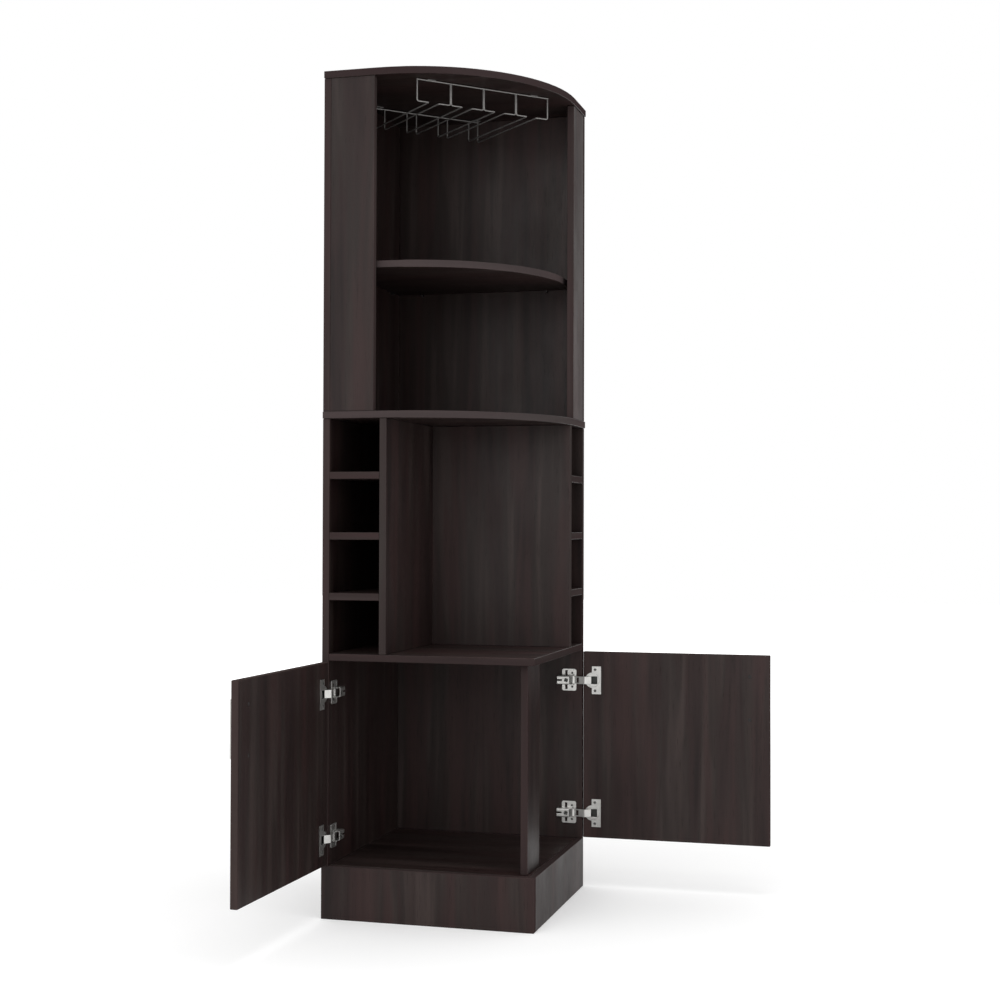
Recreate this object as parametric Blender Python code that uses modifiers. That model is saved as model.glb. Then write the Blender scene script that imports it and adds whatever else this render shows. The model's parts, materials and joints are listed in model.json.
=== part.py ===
"""Corner bar cabinet, in metres, +Z up.

The origin is the room corner at floor level. The rear wall runs along +X and the left wall along -Y,
so the cabinet fills the square from (0, 0) to (SIDE, -SIDE). The two open faces are the left front
(y = -SIDE) and the right front (x = SIDE), and the part is alike on both sides of the diagonal.
A place on a front face is given by its distance from the wall (run) and its distance behind the
face (depth). Both doors stand open, as the rest pose, and turn about one upright axis each.
"""
from math import atan2, cos, hypot, pi, radians, sin

import bmesh
import bpy
from mathutils import Matrix, Vector

# Carcass
SIDE = 0.460
PANEL = 0.015
EASE = 0.0008
GAP = 0.0003
OVERRUN = 0.002
PLINTH_HEIGHT = 0.111
CUPBOARD_CLEAR = 0.429
CUBBY_CLEAR_HEIGHT = 0.112
CUBBY_CLEAR_WIDTH = 0.111
CUBBY_ROWS = 4
UPPER_CLEAR = 0.703
BOARD_OVERHANG = 0.0025
STRIP_WIDTH = 0.097
STRIP_TO_ARC = 0.003
ARC_STEPS = 20
SHELF_ABOVE_MID = 0.303
SHELF_SETBACK = 0.025
POST_WIDTH = 0.100
POST_SIDE_SETBACK = 0.020
POST_FRONT_SETBACK = 0.025

# Doors
DOOR_THICKNESS = 0.015
DOOR_INSET = 0.001
DOOR_HINGE_GAP = 0.004
DOOR_POST_GAP = 0.0025
DOOR_LEVEL_GAP = 0.003
AXIS_DEPTH = 0.0085
LEFT_OPEN = radians(91.5)
RIGHT_OPEN = radians(90.5)

# Concealed hinges
UPPER_HINGE_INSET = 0.065
LOWER_HINGE_INSET = 0.056
CUP_EDGE_DISTANCE = 0.004
CUP_RADIUS = 0.0175
CUP_DEPTH = 0.0115
CUP_WALL = 0.0012
CUP_CHEEK_LENGTH = 0.012
CUP_CHEEK_SHIFT = 0.0055
CUP_CHEEK_SHEET = 0.0014
FLANGE_THICKNESS = 0.0012
WING_WIDTH = 0.021
WING_HEIGHT = 0.063
WING_START = 0.0016
PLATE_HEIGHT = 0.050
PLATE_WIDTH = 0.0335
PLATE_THICKNESS = 0.0019
PLATE_BEFORE_DOOR = 0.0028
ARM_WIDTH = 0.0205
ARM_HEIGHT = 0.0135
ARM_SHEET = 0.0012
ARM_BEHIND_DOOR = 0.0019
ARM_LENGTH = 0.0376
ARM_WEB_SETBACK = 0.009
PIN_OFF_PANEL = 0.0051
PIN_BEHIND_DOOR = 0.0041
PIN_RADIUS = 0.0012
LINK_RUN = 0.0298
LINK_TIP = 0.0159
LINK_BEND = radians(-53)
LINK_CLOSED_ANGLE = radians(15.2)
LINK_RATIO = 1.04
LINK_SHEET = 0.0020
LINK_EYE_WALL = 0.0009
EYE_STEPS = 10

# Handles
HANDLE_LENGTH = 0.112
HANDLE_RADIUS = 0.005
HANDLE_STANDOFF = 0.024
HANDLE_FROM_EDGE = 0.045
HANDLE_BELOW_TOP = 0.040
HANDLE_POST_INSET = 0.008
HANDLE_POST_RADIUS = 0.004

# Stemware rack
WIRE_RADIUS = 0.0015
RACK_PITCH = 0.080
RACK_SLOT = 0.024
RACK_DROP = 0.046
RACK_FRONT_SETBACK = 0.0786
RACK_WALL_CLEARANCE = 0.007
RACK_TEES = 3
WIRE_BEND = 0.0045
BEND_STEPS = 4
WELD = 0.0004
TAB_LENGTH = 0.018
TAB_WIDTH = 0.012
TAB_THICKNESS = 0.0015
TAB_FROM_MIDDLE = 0.126

# Fasteners and supports
SCREW_HEAD_RADIUS = 0.0040
SCREW_HEAD_HEIGHT = 0.0020
SCREW_RADIUS = 0.0020
SCREW_LENGTH = 0.024
SHELF_PIN_RADIUS = 0.0025
SHELF_PIN_LENGTH = 0.018
SHELF_PIN_DEPTH = 0.008
SHELF_PIN_SETBACK = 0.060
ROUND_STEPS = 12
CUP_STEPS = 24
SMOOTH_ANGLE = radians(35)
MERGE_DISTANCE = 0.00003

# Worked-out levels and places
BOTTOM_TOP = PLINTH_HEIGHT
COUNTER_UNDER = PLINTH_HEIGHT + CUPBOARD_CLEAR
COUNTER_TOP = COUNTER_UNDER + PANEL
MID_UNDER = COUNTER_TOP + CUBBY_ROWS * CUBBY_CLEAR_HEIGHT + (CUBBY_ROWS - 1) * PANEL
MID_TOP = MID_UNDER + PANEL
TOP_UNDER = MID_TOP + UPPER_CLEAR
SHELF_UNDER = MID_TOP + SHELF_ABOVE_MID
DIVIDER_START = PANEL + CUBBY_CLEAR_WIDTH
DIVIDER_END = DIVIDER_START + PANEL
STRIP_END = PANEL + STRIP_WIDTH
ARC_START = STRIP_END + STRIP_TO_ARC
DOOR_INNER = DOOR_INSET + DOOR_THICKNESS
DOOR_START = PANEL + DOOR_HINGE_GAP
DOOR_END = SIDE - DOOR_INNER - DOOR_POST_GAP
DOOR_LOW = BOTTOM_TOP + DOOR_LEVEL_GAP
DOOR_HIGH = COUNTER_UNDER - DOOR_LEVEL_GAP
AXIS_RUN = AXIS_DEPTH + PANEL - DOOR_INNER
HINGE_LEVELS = {"lower": DOOR_LOW + LOWER_HINGE_INSET, "upper": DOOR_HIGH - UPPER_HINGE_INSET}
CUP_RUN = DOOR_START + CUP_EDGE_DISTANCE + CUP_RADIUS
PIN_RUN = PANEL + PIN_OFF_PANEL
PIN_DEPTH = DOOR_INNER + PIN_BEHIND_DOOR
PLATE_START = DOOR_INNER - PLATE_BEFORE_DOOR
ARM_START = DOOR_INNER + ARM_BEHIND_DOOR
ARM_BASE = PANEL + GAP + PLATE_THICKNESS + GAP
ARM_TOP = ARM_BASE + ARM_HEIGHT
LINK_WIDTH = ARM_WIDTH - 2 * (ARM_SHEET + 2 * GAP)
RACK_HALF = RACK_PITCH * (RACK_TEES + 1) / 2
RACK_ARM = (RACK_PITCH - RACK_SLOT) / 2
RACK_REAR_HALF = RACK_HALF - RACK_ARM + WIRE_RADIUS
RACK_FRONT = ARC_START * 2 ** 0.5 + SIDE + BOARD_OVERHANG - ARC_START - RACK_FRONT_SETBACK
RACK_REAR = RACK_REAR_HALF + (PANEL + RACK_WALL_CLEARANCE) * 2 ** 0.5
RACK_LENGTH = RACK_FRONT - RACK_REAR

model = bpy.data.collections.new("corner_bar_cabinet")
cutters = bpy.data.collections.new("cutters")


def clear_scene():
    """Removes what a new file holds."""
    for thing in list(bpy.data.objects):
        bpy.data.objects.remove(thing, do_unlink=True)
    for collection in (model, cutters):
        bpy.context.scene.collection.children.link(collection)


def material(name, color, roughness, metallic=0.0):
    """Makes a plain material of one colour."""
    made = bpy.data.materials.new(name)
    made.use_nodes = True
    shader = made.node_tree.nodes["Principled BSDF"]
    shader.inputs["Base Color"].default_value = (*color, 1.0)
    shader.inputs["Roughness"].default_value = roughness
    shader.inputs["Metallic"].default_value = metallic
    return made


def wood(name):
    """Dark board for one piece."""
    return material(name + "_board", (0.045, 0.030, 0.027), 0.45)


def steel(name):
    """Bright plated steel for one piece."""
    return material(name + "_steel", (0.62, 0.62, 0.60), 0.28, 1.0)


def add(name, mesh, finish, place=None, parent=None, collection=model):
    """Links a mesh as a named object with its finish."""
    thing = bpy.data.objects.new(name, mesh)
    collection.objects.link(thing)
    if finish:
        mesh.materials.append(finish)
    if parent:
        thing.parent = parent
    thing.matrix_basis = place or Matrix()
    return thing


def empty(name, place, parent=None):
    """A guide at an axis, which carries the pieces that turn with it."""
    guide = bpy.data.objects.new(name, None)
    model.objects.link(guide)
    guide.empty_display_size = PANEL
    if parent:
        guide.parent = parent
    guide.matrix_basis = place
    return guide


def ease_edges(thing, width=EASE):
    """Takes the sharp edges off a board."""
    bevel = thing.modifiers.new("ease", "BEVEL")
    bevel.width = width
    bevel.segments = 1
    bevel.limit_method = "ANGLE"


def cube_mesh(name, size):
    """A box about its own centre."""
    shape = bmesh.new()
    bmesh.ops.create_cube(shape, size=1)
    bmesh.ops.scale(shape, vec=Vector(size), verts=shape.verts)
    mesh = bpy.data.meshes.new(name)
    shape.to_mesh(mesh)
    shape.free()
    return mesh


def box(name, low, high, finish, parent=None, eased=True):
    """A box from its lowest to its highest corner."""
    low, high = Vector(low), Vector(high)
    thing = add(name, cube_mesh(name, high - low), finish, Matrix.Translation((low + high) / 2), parent)
    if eased:
        ease_edges(thing)
    return thing


def evaluated_mesh(thing):
    """The object's finished shape as a mesh of its own, with its caps welded."""
    bpy.context.view_layer.update()
    graph = bpy.context.evaluated_depsgraph_get()
    mesh = bpy.data.meshes.new_from_object(thing.evaluated_get(graph))
    shape = bmesh.new()
    shape.from_mesh(mesh)
    bmesh.ops.remove_doubles(shape, verts=shape.verts, dist=MERGE_DISTANCE)
    shape.to_mesh(mesh)
    shape.free()
    return mesh


def turned_mesh(name, profile, steps=ROUND_STEPS):
    """Turns a profile of (radius, height) points, top to bottom, about Z."""
    outline = bpy.data.meshes.new(name)
    points = [(radius, 0, height) for radius, height in profile]
    outline.from_pydata(points, [(k, k + 1) for k in range(len(points) - 1)], [])
    thing = add(name + "_profile", outline, None, collection=cutters)
    screw = thing.modifiers.new("turn", "SCREW")
    screw.steps = steps
    screw.render_steps = steps
    screw.use_merge_vertices = True
    screw.merge_threshold = MERGE_DISTANCE
    mesh = evaluated_mesh(thing)
    bpy.data.objects.remove(thing)
    mesh.name = name
    return mesh


def round_off(thing):
    """Shades a round piece smooth, but for its sharp edges."""
    thing.data.shade_smooth()
    thing.data.set_sharp_from_angle(angle=SMOOTH_ANGLE)
    return thing


def aim(point, direction):
    """Places a shape so that its -Z runs along a direction from a point."""
    turn = Vector(direction).to_track_quat("-Z", "Y").to_matrix().to_4x4()
    return Matrix.Translation(point) @ turn


def combine(thing, mesh, place, parent, operation):
    """Cuts a placed mesh out of an object, or joins the two into one body."""
    tool = add(f"{operation.lower()}_{thing.name}", mesh, None, place, parent, cutters)
    tool.hide_render = True
    tool.display_type = "WIRE"
    boolean = thing.modifiers.new(operation.lower(), "BOOLEAN")
    boolean.operation = operation
    boolean.object = tool


def cut(thing, mesh, place=None, parent=None):
    """Cuts a placed mesh out of an object."""
    combine(thing, mesh, place, parent, "DIFFERENCE")


def join(thing, mesh, place=None, parent=None):
    """Joins a placed mesh to an object as one body."""
    combine(thing, mesh, place, parent, "UNION")


def screw_mesh(name, clearance=0.0):
    """A flat-headed screw, or the hole that clears it, with its head's top at height 0."""
    top = OVERRUN if clearance else -GAP
    head = SCREW_HEAD_RADIUS + clearance
    under = -SCREW_HEAD_HEIGHT - clearance
    shank = SCREW_RADIUS + clearance
    end = -SCREW_LENGTH - clearance
    return turned_mesh(name, [(0, top), (head, top), (head, under), (shank, under), (shank, end), (0, end)])


def bar_mesh(name, radius, length, steps=ROUND_STEPS):
    """A round bar about its own centre, along Z."""
    shape = bmesh.new()
    bmesh.ops.create_cone(
        shape, cap_ends=True, segments=steps, radius1=radius, radius2=radius, depth=length
    )
    mesh = bpy.data.meshes.new(name)
    shape.to_mesh(mesh)
    shape.free()
    return mesh


def flat_mesh(name, outlines, thickness):
    """A flat outline, with any holes, made solid about z = 0."""
    curve = bpy.data.curves.new(name, "CURVE")
    curve.dimensions = "2D"
    curve.fill_mode = "BOTH"
    curve.extrude = thickness / 2
    for outline in outlines:
        spline = curve.splines.new("POLY")
        spline.points.add(len(outline) - 1)
        for point, (x, y) in zip(spline.points, outline):
            point.co = (x, y, 0, 1)
        spline.use_cyclic_u = True
    return curve_mesh(name, curve)


def tube_mesh(name, path, radius):
    """A round tube along a path of points, with closed ends."""
    curve = bpy.data.curves.new(name, "CURVE")
    curve.dimensions = "3D"
    curve.bevel_depth = radius
    curve.bevel_resolution = 2
    curve.use_fill_caps = True
    spline = curve.splines.new("POLY")
    spline.points.add(len(path) - 1)
    for point, place in zip(spline.points, path):
        point.co = (*place, 1)
    return curve_mesh(name, curve)


def curve_mesh(name, curve):
    """Turns a curve into a mesh and removes the curve."""
    thing = bpy.data.objects.new(name, curve)
    cutters.objects.link(thing)
    mesh = evaluated_mesh(thing)
    bpy.data.objects.remove(thing)
    return mesh


def arc(centre, radius, start, end, steps):
    """Points along a round stretch of an outline."""
    angles = [start + (end - start) * k / steps for k in range(steps + 1)]
    return [(centre[0] + radius * cos(a), centre[1] + radius * sin(a)) for a in angles]


def front_point(side, run, depth, height):
    """A world point from its place on a front face."""
    if side == "left":
        return Vector((run, depth - SIDE, height))
    return Vector((SIDE - depth, -run, height))


def front_box(name, side, run, depth, height):
    """A board on a front face, from its spans of run, depth and height."""
    ends = [front_point(side, run[k], depth[k], height[k]) for k in (0, 1)]
    low = [min(pair) for pair in zip(*ends)]
    high = [max(pair) for pair in zip(*ends)]
    return box(name, low, high, wood(name))


def curved_board(name, reach, corner, under):
    """A quarter board whose straight edges run into one arc, between the walls and the fronts."""
    outline = [(corner, -corner), (corner, -reach)]
    outline += arc((ARC_START, -ARC_START), reach - ARC_START, -pi / 2, 0, ARC_STEPS)
    outline.append((reach, -corner))
    place = Matrix.Translation((0, 0, under + PANEL / 2))
    board = add(name, flat_mesh(name, [outline], PANEL), wood(name), place)
    ease_edges(board)
    return board


def make_plinth():
    """Four upright boards, and the bottom board inside them with its top flush."""
    inner = PANEL + GAP
    far = SIDE - inner
    under = BOTTOM_TOP - PANEL
    boards = {
        "front_plinth_board": ((0, -SIDE, 0), (SIDE, PANEL - SIDE, BOTTOM_TOP)),
        "right_plinth_board": ((SIDE - PANEL, -far, 0), (SIDE, 0, BOTTOM_TOP)),
        "left_plinth_board": ((0, -far, 0), (PANEL, 0, BOTTOM_TOP)),
        "rear_plinth_board": ((inner, -PANEL, 0), (far, 0, BOTTOM_TOP)),
        "bottom_board": ((inner, -far, under), (far, -inner, BOTTOM_TOP)),
    }
    for name, (low, high) in boards.items():
        box(name, low, high, wood(name))


def make_base_cabinet():
    """The tall side panels, the corner post, the counter, the dividers and the small shelves."""
    inner = PANEL + GAP
    low, high = BOTTOM_TOP + GAP, MID_UNDER - GAP
    name = "left_lower_panel"
    box(name, (0, -SIDE, low), (PANEL, 0, high), wood(name))
    name = "rear_lower_panel"
    box(name, (inner, -PANEL, low), (SIDE, 0, high), wood(name))
    name = "counter_board"
    box(name, (inner, -SIDE, COUNTER_UNDER), (SIDE, -inner, COUNTER_TOP), wood(name))
    name = "corner_post"
    outer, front = SIDE - POST_SIDE_SETBACK, POST_FRONT_SETBACK - SIDE
    top = COUNTER_UNDER - GAP
    box(name, (outer - PANEL, front, low), (outer, front + POST_WIDTH, top), wood(name))
    height = (COUNTER_TOP + GAP, MID_UNDER - GAP)
    run = (DIVIDER_START, DIVIDER_END)
    front_box("left_divider", "left", run, (0, SIDE - DIVIDER_END - GAP), height)
    front_box("right_divider", "right", run, (0, SIDE - DIVIDER_START), height)
    run = (inner, DIVIDER_START - GAP)
    for row in range(1, CUBBY_ROWS):
        under = COUNTER_TOP + row * CUBBY_CLEAR_HEIGHT + (row - 1) * PANEL
        height = (under, under + PANEL)
        front_box(f"left_cubby_shelf_{row}", "left", run, (0, SIDE - inner), height)
        front_box(f"right_cubby_shelf_{row}", "right", run, (0, SIDE - DIVIDER_START + GAP), height)


def make_top_cabinet():
    """The curved boards, the panels and strips between them, and the shelf on its pins."""
    inner = PANEL + GAP
    reach = SIDE + BOARD_OVERHANG
    curved_board("mid_board", reach, 0, MID_UNDER)
    curved_board("top_board", reach, 0, TOP_UNDER)
    curved_board("upper_shelf", SIDE - SHELF_SETBACK, inner, SHELF_UNDER)
    low, high = MID_TOP + GAP, TOP_UNDER - GAP
    panels = {
        "left": box("left_upper_panel", (0, -SIDE, low), (PANEL, 0, high), wood("left_upper_panel")),
        "rear": box("rear_upper_panel", (inner, -PANEL, low), (SIDE, 0, high), wood("rear_upper_panel")),
    }
    for side in ("left", "right"):
        front_box(side + "_front_strip", side, (inner, STRIP_END), (0, PANEL), (low, high))

    pin = bar_mesh("shelf_pin", SHELF_PIN_RADIUS, SHELF_PIN_LENGTH)
    hole = bar_mesh("shelf_pin_hole", SHELF_PIN_RADIUS + GAP, SHELF_PIN_LENGTH + 2 * GAP)
    height = SHELF_UNDER - GAP - SHELF_PIN_RADIUS
    middle = PANEL - SHELF_PIN_DEPTH + SHELF_PIN_LENGTH / 2
    spots = {"back": PANEL + SHELF_PIN_SETBACK, "front": SIDE - SHELF_SETBACK - SHELF_PIN_SETBACK}
    for wall, panel in panels.items():
        for spot, along in spots.items():
            point, direction = ((middle, -along, height), (1, 0, 0))
            if wall == "rear":
                point, direction = ((along, -middle, height), (0, -1, 0))
            name = f"{wall}_{spot}_shelf_pin"
            thing = add(name, pin.copy(), steel(name), aim(point, direction))
            round_off(thing)
            cut(panel, hole.copy(), aim(point, direction))


def link_outline(hand):
    """The hinge link seen from above: an eye about the pin, a run, a bend and a tip."""
    half = LINK_SHEET / 2
    eye = PIN_RADIUS + GAP + LINK_EYE_WALL
    spread = atan2(half, eye)
    points = arc((0, 0), hypot(eye, half), spread, 2 * pi - spread, EYE_STEPS)
    shift = half / cos(LINK_BEND / 2)
    elbow = (shift * sin(LINK_BEND / 2), shift * cos(LINK_BEND / 2))
    end = (LINK_RUN + LINK_TIP * cos(LINK_BEND), LINK_TIP * sin(LINK_BEND))
    across = (-half * sin(LINK_BEND), half * cos(LINK_BEND))
    points.append((LINK_RUN + elbow[0], -elbow[1]))
    points.append((end[0] - across[0], end[1] - across[1]))
    points.append((end[0] + across[0], end[1] + across[1]))
    points.append((LINK_RUN - elbow[0], elbow[1]))
    hole = arc((0, 0), PIN_RADIUS + GAP, 0, 2 * pi * (1 - 1 / EYE_STEPS), EYE_STEPS - 1)
    return [[(hand * x, y) for x, y in points], [(hand * x, y) for x, y in hole]]


def flange_outline(hand):
    """The cup's rim and wing seen from inside the cupboard: x along the door, y upwards."""
    half = WING_HEIGHT / 2
    rise = (CUP_RADIUS ** 2 - WING_START ** 2) ** 0.5
    start = atan2(rise, -WING_START)
    points = arc((0, 0), CUP_RADIUS, start, 2 * pi - start, CUP_STEPS // 2)
    points += [(-WING_START, -half), (WING_WIDTH - WING_START, -half)]
    points += [(WING_WIDTH - WING_START, half), (-WING_START, half)]
    return [(hand * x, y) for x, y in points]


def make_cup(name, hand, door, centre, guide):
    """A steel cup let into the door, with its flange."""
    outer = CUP_RADIUS - GAP
    inner = outer - CUP_WALL
    floor = GAP - CUP_DEPTH
    profile = [(0, FLANGE_THICKNESS), (outer, FLANGE_THICKNESS), (outer, floor), (0, floor)]
    cup = add(name, turned_mesh(name, profile, CUP_STEPS), steel(name), aim(centre, (0, -1, 0)), guide)
    flange = flat_mesh(name + "_flange", [flange_outline(hand)], FLANGE_THICKNESS - GAP)
    stand = Matrix.Rotation(pi / 2, 4, "X")
    middle = Vector((0, (GAP + FLANGE_THICKNESS) / 2, 0))
    join(cup, flange, Matrix.Translation(Vector(centre) + middle) @ stand, guide)
    top = FLANGE_THICKNESS + OVERRUN
    hollow = bar_mesh(name + "_hollow", inner, top - floor - CUP_WALL, CUP_STEPS)
    lift = Vector((0, (top + floor + CUP_WALL) / 2, 0))
    cut(cup, hollow, Matrix.Translation(Vector(centre) + lift) @ stand, guide)
    low = floor + CUP_WALL - WELD
    for sign in (-1, 1):
        cheek = cube_mesh(name + "_cheek", (CUP_CHEEK_LENGTH, FLANGE_THICKNESS - low, CUP_CHEEK_SHEET))
        aside = sign * (LINK_WIDTH / 2 + GAP + CUP_CHEEK_SHEET / 2)
        middle = Vector((-hand * CUP_CHEEK_SHIFT, (FLANGE_THICKNESS + low) / 2, aside))
        join(cup, cheek, Matrix.Translation(Vector(centre) + middle), guide)
    round_off(cup)
    bore = bar_mesh(name + "_bore", CUP_RADIUS, 2 * CUP_DEPTH, CUP_STEPS)
    cut(door, bore, aim(centre, (0, -1, 0)), guide)


def make_door(side, hand, base, open_angle):
    """A door, its hinge cups, its handle and the handle's screws, all carried by the hinge axis."""
    axis = front_point(side, AXIS_RUN, AXIS_DEPTH, 0)
    turn = Matrix.Rotation(base - hand * open_angle, 4, "Z")
    guide = empty(side + "_door_axis", Matrix.Translation(axis) @ turn)

    def place(run, depth, height):
        """A point in the door's own frame, from its place when closed."""
        return Vector((hand * (run - AXIS_RUN), depth - AXIS_DEPTH, height))

    ends = (place(DOOR_START, DOOR_INSET, DOOR_LOW), place(DOOR_END, DOOR_INNER, DOOR_HIGH))
    low = [min(pair) for pair in zip(*ends)]
    high = [max(pair) for pair in zip(*ends)]
    name = side + "_door"
    door = box(name, low, high, wood(name), guide)
    for level, height in HINGE_LEVELS.items():
        make_cup(f"{side}_{level}_hinge_cup", hand, door, place(CUP_RUN, DOOR_INNER, height), guide)

    name = side + "_handle"
    run = DOOR_END - HANDLE_FROM_EDGE
    top = DOOR_HIGH - HANDLE_BELOW_TOP
    bottom = top - HANDLE_LENGTH
    line = DOOR_INSET - HANDLE_STANDOFF + HANDLE_RADIUS
    bar = tube_mesh(name, [place(run, line, bottom), place(run, line, top)], HANDLE_RADIUS)
    handle = add(name, bar, steel(name), None, guide)
    reach = HANDLE_STANDOFF - HANDLE_RADIUS - GAP
    screw = screw_mesh(name + "_screw")
    hole = screw_mesh(name + "_screw_hole", GAP)
    for level, height in (("lower", bottom + HANDLE_POST_INSET), ("upper", top - HANDLE_POST_INSET)):
        post = bar_mesh(name + "_post", HANDLE_POST_RADIUS, reach)
        join(handle, post, aim(place(run, DOOR_INSET - GAP - reach / 2, height), (0, 1, 0)), guide)
        spot = aim(place(run, DOOR_INNER, height), (0, -1, 0))
        cut(handle, hole.copy(), spot, guide)
        cut(door, hole.copy(), spot, guide)
        screw_name = f"{side}_handle_{level}_screw"
        round_off(add(screw_name, screw.copy(), steel(screw_name), spot, guide))
    round_off(handle)


def make_hinge_mounts(side, hand, base, open_angle):
    """Mounting plates and arms on the panel, and the links that turn about the arms' pins."""
    origin = front_point(side, 0, 0, 0)
    guide = empty(side + "_hinge_frame", Matrix.Translation(origin) @ Matrix.Rotation(base, 4, "Z"))
    swing = hand * (LINK_CLOSED_ANGLE - LINK_RATIO * open_angle)
    turn = Matrix.Translation((hand * PIN_RUN, PIN_DEPTH, 0)) @ Matrix.Rotation(swing, 4, "Z")
    pivot = empty(side + "_link_axis", turn, guide)

    def span(run, depth, height):
        """A box mesh and its place, from its spans in the hinge's own frame."""
        size = (run[1] - run[0], depth[1] - depth[0], height[1] - height[0])
        centre = (hand * (run[0] + run[1]) / 2, (depth[0] + depth[1]) / 2, (height[0] + height[1]) / 2)
        return cube_mesh("span", size), Matrix.Translation(centre)

    for level, z in HINGE_LEVELS.items():
        name = f"{side}_{level}_hinge_plate"
        half = PLATE_HEIGHT / 2
        run = (PANEL + GAP, PANEL + GAP + PLATE_THICKNESS)
        mesh, place = span(run, (PLATE_START, PLATE_START + PLATE_WIDTH), (z - half, z + half))
        ease_edges(add(name, mesh, steel(name), place, guide))

        name = f"{side}_{level}_hinge_arm"
        half = ARM_WIDTH / 2
        inside = half - ARM_SHEET
        end = ARM_START + ARM_LENGTH
        mesh, place = span((ARM_BASE, ARM_TOP), (ARM_START, end), (z - half, z + half))
        arm = add(name, mesh, steel(name), place, guide)
        run = (ARM_BASE - OVERRUN, ARM_TOP - ARM_SHEET)
        depth = (ARM_START - OVERRUN, end + OVERRUN)
        cut(arm, *span(run, depth, (z - inside, z + inside)), guide)
        run = (ARM_BASE - OVERRUN, ARM_TOP + OVERRUN)
        depth = (ARM_START - OVERRUN, ARM_START + ARM_WEB_SETBACK)
        cut(arm, *span(run, depth, (z - inside, z + inside)), guide)
        pin = bar_mesh(name + "_pin", PIN_RADIUS, ARM_WIDTH + 2 * PIN_RADIUS, EYE_STEPS)
        join(arm, pin, Matrix.Translation((hand * PIN_RUN, PIN_DEPTH, z)), guide)

        name = f"{side}_{level}_hinge_link"
        link = flat_mesh(name, link_outline(hand), LINK_WIDTH)
        add(name, link, steel(name), Matrix.Translation((0, 0, z)), pivot)


def bent(corners):
    """A path through corners, with each inner corner rounded."""
    corners = [Vector(corner) for corner in corners]
    path = [corners[0]]
    for before, corner, after in zip(corners, corners[1:], corners[2:]):
        start = corner + (before - corner).normalized() * WIRE_BEND
        end = corner + (after - corner).normalized() * WIRE_BEND
        for k in range(BEND_STEPS + 1):
            share = k / BEND_STEPS
            path.append(start.lerp(corner, share).lerp(corner.lerp(end, share), share))
    path.append(corners[-1])
    return path


def rack_point(across, back, height):
    """A world point from its place across the rack, behind its front rail, and its height."""
    out = RACK_FRONT - back
    return Vector((out + across, across - out, 0)) / 2 ** 0.5 + Vector((0, 0, height))


def make_rack():
    """The stemware rack: two rails with tabs under the top board, and the wires between them."""
    rail = TOP_UNDER - GAP - TAB_THICKNESS - WIRE_RADIUS + WELD
    under = rail - WIRE_RADIUS - GAP
    low = rail - RACK_DROP

    def channel(name, drop, run):
        """One wire: down from the front rail, aside, back, and up to the rear rail."""
        corners = [
            rack_point(drop, 0, under),
            rack_point(drop, 0, low),
            rack_point(run, 0, low),
            rack_point(run, RACK_LENGTH, low),
            rack_point(run, RACK_LENGTH, under),
        ]
        return tube_mesh(name, bent(corners), WIRE_RADIUS)

    turn = Matrix.Rotation(pi / 4, 4, "Z")
    inward = TAB_WIDTH / 2 - WIRE_RADIUS
    rails = (
        ("front", 0, RACK_HALF + WIRE_RADIUS, inward, TAB_FROM_MIDDLE),
        ("rear", RACK_LENGTH, RACK_REAR_HALF, RACK_LENGTH - inward, RACK_REAR_HALF - TAB_LENGTH / 2),
    )
    for end, back, reach, tab_back, tab_across in rails:
        name = f"rack_{end}_rail"
        bar = tube_mesh(name, [rack_point(-reach, back, rail), rack_point(reach, back, rail)], WIRE_RADIUS)
        thing = add(name, bar, steel(name))
        for sign in (-1, 1):
            middle = rack_point(sign * tab_across, tab_back, TOP_UNDER - GAP - TAB_THICKNESS / 2)
            tab = cube_mesh(name + "_tab", (TAB_LENGTH, TAB_WIDTH, TAB_THICKNESS))
            join(thing, tab, Matrix.Translation(middle) @ turn)
        round_off(thing)
    for side, sign in (("left", -1), ("right", 1)):
        name = f"rack_{side}_end_wire"
        round_off(add(name, channel(name, sign * RACK_HALF, sign * (RACK_HALF - RACK_ARM)), steel(name)))
    for number in range(1, RACK_TEES + 1):
        name = f"rack_tee_{number}"
        middle = RACK_PITCH * number - RACK_HALF
        twin = WIRE_RADIUS - WELD
        tee = add(name, channel(name, middle - twin, middle - RACK_ARM), steel(name))
        join(tee, channel(name + "_twin", middle + twin, middle + RACK_ARM))
        round_off(tee)


def main():
    """Builds the cabinet."""
    clear_scene()
    make_plinth()
    make_base_cabinet()
    make_top_cabinet()
    make_rack()
    for side, hand, base, open_angle in (("left", 1, 0.0, LEFT_OPEN), ("right", -1, pi / 2, RIGHT_OPEN)):
        make_hinge_mounts(side, hand, base, open_angle)
        make_door(side, hand, base, open_angle)


main()
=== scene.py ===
"""Looks of a corner bar cabinet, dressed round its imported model.

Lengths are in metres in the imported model's own frame. The two walls meet at the back left
corner, the origin; the fronts face -y and +x, and z is up. Within one front, a place is
given by its run along the front from the hinge side, its depth into the cabinet and its height.
"""

import json
import logging
import math
from collections.abc import Iterable
from dataclasses import dataclass, field
from enum import Enum

import bpy
import numpy as np
from mathutils import Matrix, Vector


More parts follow.
